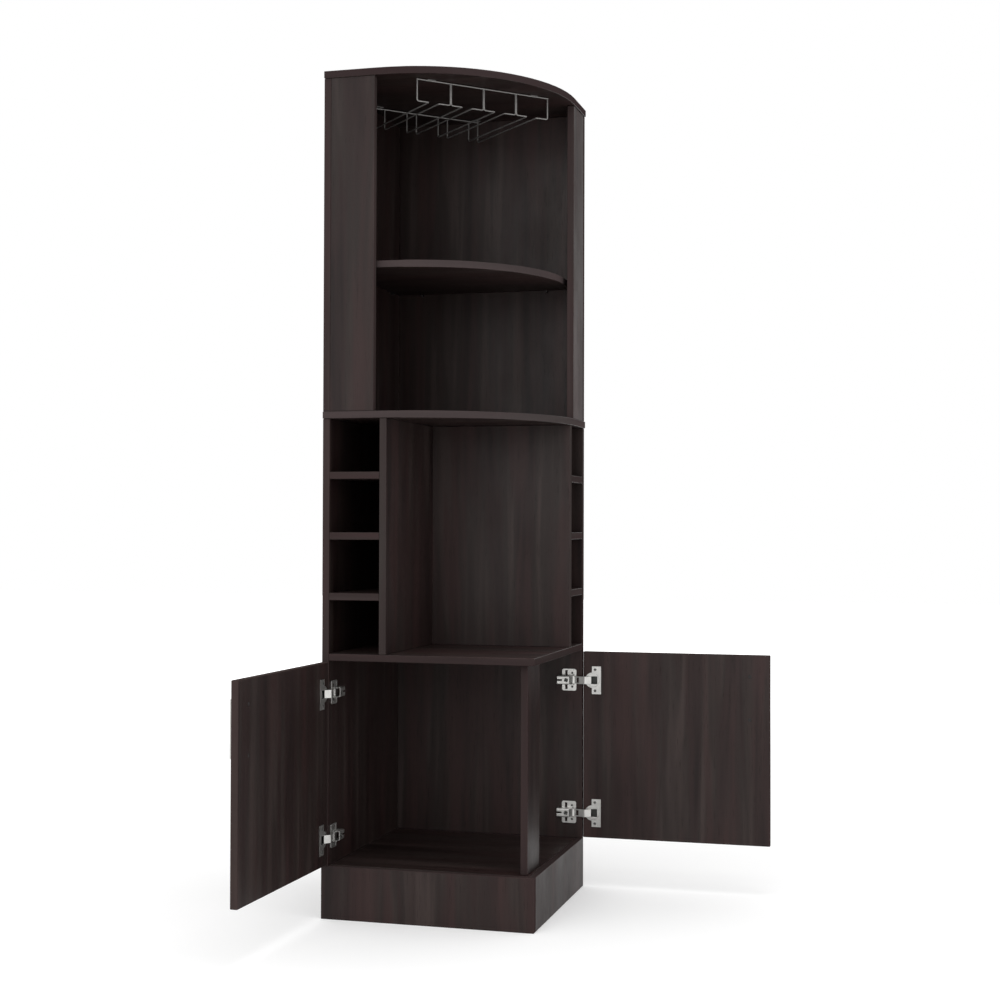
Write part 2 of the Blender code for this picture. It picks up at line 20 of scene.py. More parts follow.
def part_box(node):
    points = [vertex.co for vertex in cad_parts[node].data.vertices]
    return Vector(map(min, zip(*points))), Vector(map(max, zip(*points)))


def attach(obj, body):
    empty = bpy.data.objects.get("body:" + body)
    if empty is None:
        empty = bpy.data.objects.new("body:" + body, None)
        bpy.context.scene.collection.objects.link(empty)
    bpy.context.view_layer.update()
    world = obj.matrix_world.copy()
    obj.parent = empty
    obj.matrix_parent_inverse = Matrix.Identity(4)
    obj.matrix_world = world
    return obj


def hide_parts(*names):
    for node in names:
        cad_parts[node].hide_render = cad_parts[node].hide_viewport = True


MM = 0.001
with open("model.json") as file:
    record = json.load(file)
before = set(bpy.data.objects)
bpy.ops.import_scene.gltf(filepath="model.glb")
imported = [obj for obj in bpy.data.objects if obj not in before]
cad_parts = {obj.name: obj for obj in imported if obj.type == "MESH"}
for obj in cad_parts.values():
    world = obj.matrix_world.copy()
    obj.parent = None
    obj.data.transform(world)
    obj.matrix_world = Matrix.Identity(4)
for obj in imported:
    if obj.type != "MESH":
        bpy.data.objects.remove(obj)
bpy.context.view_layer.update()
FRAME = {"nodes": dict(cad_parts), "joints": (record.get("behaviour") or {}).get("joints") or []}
LOG = logging.getLogger("corner_bar_cabinet")
EASE_WIDTH = 0.22 * MM
EASE_SEGMENTS = 2
EASE_ANGLE = math.radians(40)
NOISE_ROUGHNESS = 0.55
LINE_DECIMALS = 7

Array = np.ndarray
Socket = bpy.types.NodeSocket
Material = bpy.types.Material
Triple = tuple[float, float, float]
Color = tuple[float, float, float, float]
Stops = tuple[tuple[float, Color], ...]
Rise = tuple[float, float, float, float]  # Start and end of a smooth rise, then its low and high.


def linear(red: float, green: float, blue: float) -> Color:
    """Turns a colour read off a screen, 0 to 255, into the linear colour a shader takes.

    Args:
        red: The screen's red.
        green: The screen's green.
        blue: The screen's blue.

    Returns:
        The colour, with an alpha of 1.
    """
    screen = np.array((red, green, blue)) / 255
    light = np.where(screen <= 0.04045, screen / 12.92, ((screen + 0.055) / 1.055) ** 2.4)
    return (*light.tolist(), 1.0)


def smooth_step(value: Array, start: float, end: float) -> Array:
    """Rises from 0 at start to 1 at end as 3t^2 - 2t^3, where t is the share of the way."""
    share = np.clip((value - start) / (end - start), 0, 1)
    return share * share * (3 - 2 * share)


def node_points(node: str) -> Array:
    """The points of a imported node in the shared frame.

    Args:
        node: The node.

    Returns:
        Its points, one row each.
    """
    mesh = FRAME["nodes"][node].data
    points = np.empty(len(mesh.vertices) * 3)
    mesh.vertices.foreach_get("co", points)
    return points.reshape(-1, 3)


def turn_rows(angle: float) -> Array:
    """The matrix that turns rows about z: x' = x cos - y sin, y' = x sin + y cos."""
    cosine, sine = math.cos(angle), math.sin(angle)
    return np.array(((cosine, sine, 0), (-sine, cosine, 0), (0, 0, 1)))


def turned(places: Array, pivot: Array, angle: float) -> Array:
    """Turns places about the upright axis through a pivot, from run towards depth."""
    flat = np.array((pivot[0], pivot[1], 0))
    return (places - flat) @ turn_rows(angle) + flat


def reach(places: Array) -> tuple[Array, Array, Array, Array]:
    """The lowest and the highest of some places, the middle between them and half the way."""
    low, high = places.min(axis=0), places.max(axis=0)
    return low, high, (low + high) / 2, (high - low) / 2


class Slot(Enum):
    """The record's material slots that the new pieces belong to."""

    NICKEL = "hinge_nickel"
    CHROME = "rack_chrome"


class Side(Enum):
    """The two fronts of the cabinet, each with a door."""

    LEFT = "left"
    RIGHT = "right"

    @property
    def open_angle(self) -> float:
        """The door's angle from closed, in radians, as the model stands."""
        return math.radians(self.packed("door_hinge")["range_deg"][1])

    @property
    def corner(self) -> Array:
        """The outer corner from which this front's run and depth are measured."""
        low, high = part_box("left_lower_panel"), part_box("rear_lower_panel")
        return np.array((0, low[0].y, 0) if self is Side.LEFT else (high[1].x, 0, 0))

    @property
    def axes(self) -> Array:
        """Rows that turn run, depth and height into x, y and z."""
        right = ((0, -1, 0), (-1, 0, 0), (0, 0, 1))
        return np.eye(3) if self is Side.LEFT else np.array(right, float)

    def world(self, places: Array) -> Array:
        """World points of places given as run, depth and height."""
        return places @ self.axes + self.corner

    def local(self, points: Iterable[float]) -> Array:
        """Run, depth and height of world points."""
        return (np.asarray(points, float) - self.corner) @ self.axes.T

    def span(
        self, node: str, pivot: Iterable[float] = (0, 0, 0), angle: float = 0.0
    ) -> tuple[Array, Array, Array, Array]:
        """How far a node reaches in run, depth and height, once it is turned about a pivot."""
        return reach(turned(self.local(node_points(node)), pivot, angle))

    def packed(self, name: str) -> dict:
        """A joint of this side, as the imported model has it."""
        return next(j for j in FRAME["joints"] if j["name"] == f"{self.value}_{name}")

    def joint(self, name: str) -> Array:
        """Run, depth and height of a joint of this side."""
        return self.local(self.packed(name)["pos_m"])


def lines(*stops: float, step: float) -> Array:
    """Grid lines through every stop, and evenly between them no further apart than a step.

    Args:
        stops: The places that a line must pass.
        step: The widest space between lines.

    Returns:
        The sorted lines.
    """
    places = sorted(stops)
    spans = zip(places, places[1:])
    parts = [np.linspace(a, b, max(1, math.ceil((b - a) / step)) + 1) for a, b in spans]
    return np.unique(np.round(np.concatenate(parts), LINE_DECIMALS))


def grid_faces(shape: tuple[int, ...], kept: Array | None = None, loop: bool = False) -> Array:
    """Joins the points of a grid by quads.

    Args:
        shape: How many points lie along the first and the second parameter.
        kept: A true or false for each cell; only the true ones get a face.
        loop: Whether the second parameter closes on itself.

    Returns:
        Four point numbers for each face.
    """
    rows, columns = shape[:2]
    index = np.arange(rows * columns).reshape(rows, columns)
    if loop:
        index = np.hstack((index, index[:, :1]))
    quads = np.stack((index[:-1, :-1], index[1:, :-1], index[1:, 1:], index[:-1, 1:]), axis=-1)
    return quads.reshape(-1, 4) if kept is None else quads[kept]


def cell_middles(first: Array, second: Array) -> tuple[Array, Array]:
    """The two parameters at the middle of each cell of a grid."""
    middles = ((first[:-1] + first[1:]) / 2, (second[:-1] + second[1:]) / 2)
    return np.meshgrid(*middles, indexing="ij")


def signed_volume(points: Array, faces: list[list[int]]) -> float:
    """Sums a . (b x c) over the triangles of closed faces.

    Args:
        points: The points.
        faces: Point numbers of each face.

    Returns:
        Six times the volume inside, below zero where the faces point inwards.
    """
    fans = [(face[0], face[k], face[k + 1]) for face in faces for k in range(1, len(face) - 1)]
    corners = points[np.array(fans)]
    return float(np.einsum("ij,ij->", corners[:, 0], np.cross(corners[:, 1], corners[:, 2])))


def show(name: str, data: bpy.types.ID) -> bpy.types.Object:
    """Puts a mesh, a light or a camera into the scene.

    Args:
        name: The object's name.
        data: What it shows.

    Returns:
        The object.
    """
    made = bpy.data.objects.new(name, data)
    bpy.context.scene.collection.objects.link(made)
    return made


@dataclass
class Piece:
    """A finished mesh that rides on a CAD body."""

    name: str
    body: str
    finish: "Metal"
    slot: Slot
    object: bpy.types.Object = field(init=False)

    def build(self, points: Array, faces: list[list[int]]) -> None:
        """Makes the mesh from world points and faces, without the points that no face uses.

        Args:
            points: World points.
            faces: Point numbers of each face.
        """
        used, numbers = np.unique(np.concatenate([np.ravel(f) for f in faces]), return_inverse=True)
        ends = np.cumsum([len(face) for face in faces])[:-1]
        renumbered = [part.tolist() for part in np.split(numbers, ends)]
        mesh = bpy.data.meshes.new(self.name)
        mesh.from_pydata(points.reshape(-1, 3)[used].tolist(), [], renumbered)
        mesh.validate()
        mesh.materials.append(self.finish.build())
        mesh.polygons.foreach_set("use_smooth", np.ones(len(mesh.polygons), bool))
        self.object = show(self.name, mesh)
        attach(self.object, self.body)
        LOG.info("%s: %d faces on %s", self.name, len(mesh.polygons), self.body)

    def closed(self, points: Array) -> None:
        """Makes a closed mesh of rings of points, whose faces point outwards.

        Args:
            points: World points, ring by ring.
        """
        rows, columns = points.shape[:2]
        skin = grid_faces(points.shape, loop=True).tolist()
        skin += [list(range(columns))[::-1], list(range((rows - 1) * columns, rows * columns))]
        if signed_volume(points.reshape(-1, 3), skin) < 0:
            skin = [face[::-1] for face in skin]
        self.build(points, skin)

    def sheet(self, points: Array, faces: Array, thickness: float) -> None:
        """Makes a sheet of metal about its middle surface, with eased edges.

        Args:
            points: World points of the middle surface.
            faces: Its quads.
            thickness: The sheet's thickness.
        """
        self.build(points, faces.tolist())
        solid = self.object.modifiers.new("sheet", "SOLIDIFY")
        solid.thickness, solid.offset = thickness, 0
        bevel = self.object.modifiers.new("ease", "BEVEL")
        bevel.width, bevel.segments = EASE_WIDTH, EASE_SEGMENTS
        bevel.limit_method, bevel.angle_limit = "ANGLE", EASE_ANGLE


@dataclass(frozen=True)
class Cloud:
    """Clouds to a metre along x, y and z, how many finer layers they have and how far they bend."""

    stretch: Triple
    detail: float
    warp: float = 0.0


class Nodes:
    """Writes the node tree of a material or a world, one call for each node."""

    def __init__(self, owner: Material | bpy.types.World) -> None:
        """Starts with an empty tree.

        Args:
            owner: The material or the world.
        """
        self.owner = owner
        owner.use_nodes = True
        self.tree = owner.node_tree
        self.tree.nodes.clear()

    def feed(self, socket: Socket, value: object) -> None:
        """Links a socket to another, or sets it to a value.

        Args:
            socket: The input.
            value: The other socket, or the value.
        """
        if isinstance(value, Socket):
            self.tree.links.new(value, socket)
        else:
            socket.default_value = value

    def add(
        self, kind: str, inputs: dict[str | int, object] | None = None, **settings: object
    ) -> bpy.types.Node:
        """Adds a node.

        Args:
            kind: The shader node's type.
            inputs: Values or sockets for its inputs.
            settings: Values for its properties.

        Returns:
            The node.
        """
        made = self.tree.nodes.new("ShaderNode" + kind)
        for key, value in settings.items():
            setattr(made, key, value)
        for key, value in (inputs or {}).items():
            self.feed(made.inputs[key], value)
        return made

    def sum(self, operation: str, *values: object, clamp: bool = False) -> Socket:
        """The result of one step of arithmetic."""
        inputs = dict(enumerate(values))
        return self.add("Math", inputs, operation=operation, use_clamp=clamp).outputs[0]

    def vector(self, operation: str, *values: object) -> Socket:
        """The result of one step of vector arithmetic: a number for a dot product or a length."""
        made = self.add("VectorMath", dict(enumerate(values)), operation=operation)
        return made.outputs["Value" if operation in ("DOT_PRODUCT", "LENGTH") else "Vector"]

    def join(self, x: object, y: object, z: object) -> Socket:
        """A vector from three numbers."""
        return self.add("CombineXYZ", {0: x, 1: y, 2: z}).outputs[0]

    def split(self, vector: Socket) -> list[Socket]:
        """The three numbers of a vector."""
        return list(self.add("SeparateXYZ", {0: vector}).outputs)

    def noise(self, vector: Socket, cloud: Cloud) -> Socket:
        """Cloudy numbers from 0 to 1."""
        inputs = {
            "Vector": self.vector("MULTIPLY", vector, cloud.stretch), "Scale": 1.0,
            "Detail": cloud.detail, "Roughness": NOISE_ROUGHNESS, "Distortion": cloud.warp,
        }
        return self.add("TexNoise", inputs).outputs["Fac"]

    def rise(
        self, value: Socket, start: float, end: float, low: float = 0.0, high: float = 1.0
    ) -> Socket:
        """Rises smoothly from low to high as the value goes from start to end."""
        inputs = {"Value": value, "From Min": start, "From Max": end, "To Min": low, "To Max": high}
        return self.add("MapRange", inputs, interpolation_type="SMOOTHSTEP").outputs[0]

    def ramp(self, value: Socket, stops: Stops) -> Socket:
        """A colour that passes through the colours of its stops.

        Args:
            value: The number that picks the colour.
            stops: Each stop's number and colour.

        Returns:
            The colour's socket.
        """
        made = self.add("ValToRGB", {0: value})
        elements = made.color_ramp.elements
        while len(elements) < len(stops):
            elements.new(1.0)
        for element, (place, color) in zip(elements, stops):
            element.position, element.color = place, color
        return made.outputs[0]

    def mix(self, share: object, first: object, second: object, blend: str = "MIX") -> Socket:
        """One colour mixed into another by a share."""
        inputs = {0: share, 6: first, 7: second}
        return self.add("Mix", inputs, data_type="RGBA", blend_type=blend).outputs[2]

    def mix_vector(self, share: object, first: object, second: object) -> Socket:
        """One place mixed into another by a share."""
        made = self.add("Mix", {0: share, 4: first, 5: second}, data_type="VECTOR")
        return made.outputs[1]

    def bump(self, height: Socket, distance: float, strength: float) -> Socket:
        """A surface roughened by a height."""
        inputs = {"Height": height, "Distance": distance, "Strength": strength}
        return self.add("Bump", inputs).outputs[0]

    def finish(self, inputs: dict[str, object]) -> Material:
        """Ends the tree in one shader.

        Args:
            inputs: Values or sockets for the shader's inputs.

        Returns:
            The material.
        """
        shader = self.add("BsdfPrincipled", inputs)
        self.add("OutputMaterial", {0: shader.outputs[0]})
        return self.owner


class Grain(Enum):
    """How the grain lies on a board: upright, or along x on a level board."""

    UPRIGHT = "upright"
    LEVEL = "level"


@dataclass(frozen=True)
class Laminate:
    """Dark wood-grain laminate on one board.

    Broad soft streaks of umber, russet and ash run along the grain, with narrower streaks and
    short dark pores over them. The narrow edges carry a band whose grain runs along the edge,
    and a paler painted highlight runs along the sharp edges.
    """

    node: str
    grain: Grain
    seed: int
    turn: float = 0.0
    curved: bool = False
    arc_centre: float = 115 * MM
    flat_limit: float = 0.6
    tones: Stops = (
        (0.32, linear(29, 20, 19)), (0.44, linear(40, 28, 27)),
        (0.54, linear(40, 32, 30)), (0.68, linear(55, 45, 43)),
    )
    broad: Cloud = Cloud((24.0, 24.0, 1.5), 2.0, 0.5)
    flush: Cloud = Cloud((21.0, 21.0, 1.7), 2.0, 0.4)
    flush_shift: Triple = (7.3, 2.9, 5.1)
    flush_range: Rise = (0.48, 0.66, 0.0, 0.8)
    flush_tone: Color = linear(50, 34, 33)
    narrow: Cloud = Cloud((75.0, 75.0, 2.2), 3.0, 0.2)
    narrow_tones: Stops = ((0.30, linear(196, 192, 192)), (0.70, linear(255, 252, 250)))
    narrow_share: float = 0.5
    narrow_relief: float = 0.35
    pore: Cloud = Cloud((620.0, 620.0, 28.0), 2.0)
    pore_range: Rise = (0.60, 0.72, 0.0, 1.0)
    pore_share: float = 0.4
    pore_tone: Color = linear(15, 11, 10)
    pore_roughness: float = 0.16
    band_base: Color = linear(40, 31, 30)
    band_evenness: float = 0.65
    band_tone: Triple = (2.0, 2.3, 2.4)
    band_specular: float = 0.0
    # This cloud and the fields after it paint a highlight: a paler rim along the sharp edges, of
    # wandering width.
    highlight_wander: Cloud = Cloud((55.0,) * 3, 3.0)
    highlight_wander_range: Rise = (0.30, 0.75, 0.25, 1.0)
    edge_highlight_width: float = 1.4 * MM
    edge_highlight_share: float = 0.3
    edge_highlight_tone: Color = linear(78, 68, 64)
    haze: Cloud = Cloud((9.0, 9.0, 5.0), 4.0)
    haze_roughness: Rise = (0.25, 0.75, 0.40, 0.54)
    specular: float = 0.2
    # A share above 1 paints light over the whole board, and one below 1 paints shade.
    share: float = 1.0
    relief: float = 0.06 * MM
    relief_strength: float = 0.55
    cut_range: tuple[float, float] = (2.0, 40.0)

    def box(self) -> tuple[Array, Array]:
        """The board's middle and its half sizes, once it is turned square to the axes."""
        return reach(node_points(self.node) @ turn_rows(self.turn))[2:]

    def edge_distance(self, nodes: Nodes, place: Socket) -> Socket:
        """How far a point lies from the nearest edge of its board.

        On a square board it is the middle one of the three distances to its pairs of faces,
        and on a curved board the larger of the distances to its rim and to its level faces.

        Args:
            nodes: The tree.
            place: The point, square to the board.

        Returns:
            The distance's socket.
        """
        middle, half = self.box()
        apart = nodes.vector("ABSOLUTE", nodes.vector("SUBTRACT", place, middle))
        x, y, z = nodes.split(nodes.vector("SUBTRACT", half, apart))
        if self.curved:
            east, north, _ = nodes.split(place)
            along = nodes.sum("MAXIMUM", nodes.sum("SUBTRACT", east, self.arc_centre), 0.0)
            across = nodes.sum("MAXIMUM", nodes.sum("SUBTRACT", -self.arc_centre, north), 0.0)
            away = nodes.vector("LENGTH", nodes.join(along, across, 0.0))
            radius = float(middle[0] + half[0]) - self.arc_centre
            return nodes.sum("MAXIMUM", nodes.sum("SUBTRACT", radius, away), z)
        least, most = nodes.sum("MINIMUM", x, y), nodes.sum("MAXIMUM", x, y)
        return nodes.sum("MAXIMUM", least, nodes.sum("MINIMUM", most, z))

    def along_grain(self, nodes: Nodes, place: Socket, normal: Socket) -> tuple[Socket, Socket]:
        """The point's place in the sheet of laminate, with the grain along z.

        Args:
            nodes: The tree.
            place: The point, square to the board.
            normal: The surface's direction.

        Returns:
            The place, and a number that is 1 on the banded edges.
        """
        x, y, z = nodes.split(place)
        flat = [
            nodes.sum("GREATER_THAN", nodes.sum("ABSOLUTE", part), self.flat_limit)
            for part in nodes.split(normal)
        ]
        level, half = flat[2], self.box()[1]
        if self.grain is Grain.LEVEL:
            band = nodes.sum("SUBTRACT", 1.0, level)
            face = nodes.join(y, z, x)
            edge = nodes.join(z, 0.0, nodes.sum("ADD", x, y))
        else:
            wide, thin, ends = (x, y, flat[0]) if half[0] > half[1] else (y, x, flat[1])
            band = nodes.sum("MAXIMUM", level, ends)
            face = nodes.join(x, y, z)
            edge = nodes.mix_vector(level, face, nodes.join(thin, 0.0, wide))
        return nodes.vector("ADD", nodes.mix_vector(band, face, edge), self.shift()), band

    def shift(self) -> Triple:
        """Where this board was cut from the pattern."""
        return tuple(np.random.default_rng(self.seed).uniform(*self.cut_range, 3).tolist())

    def build(self) -> Material:
        """Makes the board's material.

        Returns:
            The material.
        """
        nodes = Nodes(bpy.data.materials.new(self.node + "_laminate"))
        spot = nodes.add("TexCoord").outputs
        back = (0.0, 0.0, -self.turn)
        place, normal = (
            nodes.add("Mapping", {0: spot[way], "Rotation": back}, vector_type=kind).outputs[0]
            for way, kind in (("Object", "POINT"), ("Normal", "NORMAL"))
        )
        sheet, band = self.along_grain(nodes, place, normal)

        tone = nodes.ramp(nodes.noise(sheet, self.broad), self.tones)
        flush = nodes.noise(nodes.vector("ADD", sheet, self.flush_shift), self.flush)
        tone = nodes.mix(nodes.rise(flush, *self.flush_range), tone, self.flush_tone)
        narrow = nodes.noise(sheet, self.narrow)
        streak = nodes.ramp(narrow, self.narrow_tones)
        color = nodes.mix(self.narrow_share, tone, streak, "MULTIPLY")
        pore = nodes.rise(nodes.noise(sheet, self.pore), *self.pore_range)
        color = nodes.mix(nodes.sum("MULTIPLY", pore, self.pore_share), color, self.pore_tone)
        # Painted light and shade: the board's colour scaled by its share.
        plain = nodes.vector("MULTIPLY", color, (self.share,) * 3)
        even = nodes.mix(self.band_evenness, plain, self.band_base)
        color = nodes.mix(band, plain, nodes.vector("MULTIPLY", even, self.band_tone))

        # Painted highlight: a paler rim along every sharp edge of the board, of wandering width.
        distance = self.edge_distance(nodes, place)
        wander = nodes.noise(nodes.vector("ADD", place, self.shift()), self.highlight_wander)
        width = nodes.sum("MULTIPLY", nodes.rise(wander, *self.highlight_wander_range), self.edge_highlight_width)
        edge_highlight = nodes.sum("SUBTRACT", 1.0, nodes.sum("DIVIDE", distance, width), clamp=True)
        color = nodes.mix(nodes.sum("MULTIPLY", edge_highlight, self.edge_highlight_share), color, self.edge_highlight_tone)

        gloss = nodes.rise(nodes.noise(sheet, self.haze), *self.haze_roughness)
        rough = nodes.sum("ADD", gloss, nodes.sum("MULTIPLY", pore, self.pore_roughness))
        relief = nodes.sum("SUBTRACT", nodes.sum("MULTIPLY", narrow, self.narrow_relief), pore)
        return nodes.finish({
            "Base Color": color, "Roughness": rough,
            "Specular IOR Level": nodes.rise(band, 0.0, 1.0, self.specular, self.band_specular),
            "Normal": nodes.bump(relief, self.relief, self.relief_strength),
        })


class Polish(Enum):
    """A metal's colour, its roughness, its metallic share and its marks."""

    NICKEL = (linear(196, 195, 192), 0.36, 0.9, Cloud((420.0,) * 3, 2.0))
    WIRE = (linear(128, 126, 124), 0.42, 0.45, Cloud((260.0,) * 3, 2.0))
    BRUSHED = (linear(182, 181, 178), 0.32, 1.0, Cloud((2600.0, 2600.0, 60.0), 2.0))
    ZINC = (linear(150, 149, 147), 0.24, 1.0, Cloud((700.0,) * 3, 2.0))
    LACQUER = (linear(18, 10, 9), 0.7, 0.0, Cloud((700.0,) * 3, 2.0))


@dataclass(frozen=True)
class ShadeWell:
    """Painted shade in a hollow: the colour turns dark as it goes down from a plane through its
    mouth.
    """

    mouth: Array
    inward: Array
    start: float
    end: float
    tone: Color = linear(52, 54, 52)
    share: float = 0.93
    roughness: float = 0.2

    def depth(self, nodes: Nodes, place: Socket) -> Socket:
        """How much painted shade a point gets: 0 at the start, up to the hollow's share at its end.
        """
        deep = nodes.vector("DOT_PRODUCT", nodes.vector("SUBTRACT", place, self.mouth), self.inward)
        return nodes.rise(deep, self.start, self.end, 0.0, self.share)


@dataclass(frozen=True)
class Metal:
    """A plated or brushed metal with faint mottling, tiny marks and dust."""

    name: str
    polish: Polish
    shade_well: ShadeWell | None = None
    cloud: Cloud = Cloud((90.0,) * 3, 4.0)
    cloud_range: Rise = (0.35, 0.72, 0.0, 0.35)
    cloud_tone: float = 0.72
    mark_range: Rise = (0.58, 0.80, 0.0, 0.25)
    mark_tone: float = 0.5
    mark_roughness: Rise = (0.40, 0.75, -0.04, 0.10)
    relief: float = 0.02 * MM
    relief_strength: float = 0.35

    def build(self) -> Material:
        """Makes the metal's material.

        Returns:
            The material.
        """
        color, roughness, metallic, marks = self.polish.value
        nodes = Nodes(bpy.data.materials.new(self.name + "_metal"))
        place = nodes.add("TexCoord").outputs["Object"]
        cloud = nodes.rise(nodes.noise(place, self.cloud), *self.cloud_range)
        mark = nodes.noise(place, marks)
        duller, darker = (
            (*(tone * part for part in color[:3]), 1.0)
            for tone in (self.cloud_tone, self.mark_tone)
        )
        shade = nodes.mix(cloud, color, duller)
        shade = nodes.mix(nodes.rise(mark, *self.mark_range), shade, darker)
        rough = nodes.sum("ADD", roughness, nodes.rise(mark, *self.mark_roughness))
        # Painted shade: the colour turns darker, and the roughness rises, down inside the hollow.
        if self.shade_well:
            deep = self.shade_well.depth(nodes, place)
            shade = nodes.mix(deep, shade, self.shade_well.tone)
            rough = nodes.sum("ADD", rough, nodes.sum("MULTIPLY", deep, self.shade_well.roughness))
        return nodes.finish({
            "Base Color": shade, "Metallic": metallic, "Roughness": rough,
            "Normal": nodes.bump(mark, self.relief, self.relief_strength),
        })


@dataclass(frozen=True)
class CrossScrew:
    """A screw's head with a cross recess that painted shade darkens inside.

    The head is a function of radius and angle: a dome that falls by the square of the radius,
    less a cross-shaped recess, closed below by a flat disc.
    """

    radius: float
    height: float
    recess: float
    arm_half: float
    arm_reach: float
    fall_share: float = 0.55
    shadow_share: float = 0.42
    shadow_depth: float = 0.25 * MM
    spin: float = 0.35
    steps: int = 28
    rings: int = 13
    ring_reach: tuple[float, float] = (0.08, 0.92)
    rim: Triple = (0.98, 1.0, 1.0)

    def shape(self) -> Array:
        """The head about its own axis.

        Returns:
            Its points, ring by ring.
        """
        shares = np.concatenate((np.linspace(*self.ring_reach, self.rings), self.rim))
        angles = np.linspace(0, 2 * math.pi, self.steps, endpoint=False)
        share, angle = np.meshgrid(shares, angles, indexing="ij")
        x, y = self.radius * share * np.cos(angle), self.radius * share * np.sin(angle)
        dome = self.height * (1 - self.fall_share * share ** 2)
        near, far = np.minimum(abs(x), abs(y)), np.maximum(abs(x), abs(y))
        soft = self.arm_half / 2
        across = smooth_step(self.arm_half + soft - near, 0, soft)
        along = smooth_step(self.arm_reach + soft - far, 0, soft)
        z = dome - self.recess * across * along
        z[-1] = 0
        return np.stack((x, y, z), axis=-1)

    def place(
        self, name: str, body: str, slot: Slot, spot: Array, across: Array, out: Array
    ) -> None:
        """Sets a head on a surface.

        Args:
            name: The new piece's name.
            body: The CAD body that it rides on.
            slot: The record's slot that it belongs to.
            spot: The world point under the head's middle.
            across: The world direction of the head's x.
            out: The direction that the head faces.
        """
        shadow = spot + out * self.height * self.shadow_share
        # Painted shade inside the cross recess, from just under the head's top down into it.
        shade_well = ShadeWell(shadow, -out, 0.0, self.shadow_depth)
        way = np.stack((across, np.cross(out, across), out))
        piece = Piece(name, body, Metal(name, Polish.ZINC, shade_well), slot)
        piece.closed(self.shape() @ turn_rows(self.spin) @ way + spot)


